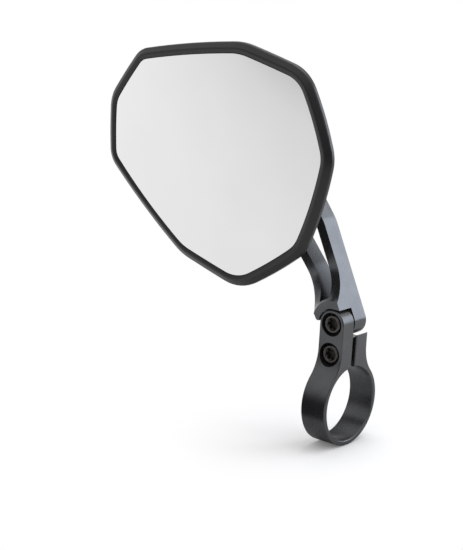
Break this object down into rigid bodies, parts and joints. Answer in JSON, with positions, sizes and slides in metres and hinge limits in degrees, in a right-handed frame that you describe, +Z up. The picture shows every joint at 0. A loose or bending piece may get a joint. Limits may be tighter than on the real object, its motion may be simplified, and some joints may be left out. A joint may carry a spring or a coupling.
{
  "type": "motorcycle bar end mirror",
  "caption": "Rear-view mirror for the end of a motorcycle handlebar: an angular black head on a ball joint, an arm cut into struts, and a split clamp ring with a pivot.",
  "frame": {"origin": "centre of the clamp bore, halfway along its width", "axes": "+X along the clamp bore, outboard on the bike's right side; +Y to the front of the bike, so the glass looks along -Y; +Z up through the clamp's lugs"},
  "size_m": [0.1336, 0.0485, 0.1813],
  "materials": {
    "anodised_aluminium": "black anodised, satin",
    "housing_black": "die cast, satin black",
    "black_steel": "black oxide",
    "bright_steel": "turned and polished",
    "liner_nylon": "moulded nylon",
    "foam_pad": "foam adhesive pad",
    "mirror_glass": "silvered convex glass"
  },
  "bodies": {
    "clamp": {"clamp_ring": "anodised_aluminium", "clamp_screw": "black_steel", "pivot_washer": "liner_nylon"},
    "arm": {"arm": "anodised_aluminium", "pivot_screw": "black_steel", "ball_stud": "bright_steel", "stud_bolt": "black_steel"},
    "pan_liner": {"ball_liner_rear": "liner_nylon"},
    "tilt_liner": {"ball_liner_front": "liner_nylon"},
    "head": {"mirror_housing": "housing_black", "ball_retainer": "bright_steel", "retainer_screws": "black_steel", "liner_spring": "bright_steel", "glass_pad": "foam_pad", "mirror_glass": "mirror_glass"}
  },
  "joints": [
    {"name": "arm_pivot", "type": "hinge", "parent": "clamp", "child": "arm", "pos_m": [0, 0, 0.0383], "axis": [0, 1, 0], "range_deg": [-18, 60]},
    {"name": "head_pan", "type": "hinge", "parent": "arm", "child": "pan_liner", "pos_m": [-0.047, -0.0125, 0.106], "axis": [0, 0, 1], "range_deg": [-15, 15]},
    {"name": "head_tilt", "type": "hinge", "parent": "pan_liner", "child": "tilt_liner", "pos_m": [-0.047, -0.0125, 0.106], "axis": [1, 0, 0], "range_deg": [-15, 15]},
    {"name": "head_roll", "type": "hinge", "parent": "tilt_liner", "child": "head", "pos_m": [-0.047, -0.0125, 0.106], "axis": [0, 1, 0], "range_deg": [-30, 30]}
  ]
}
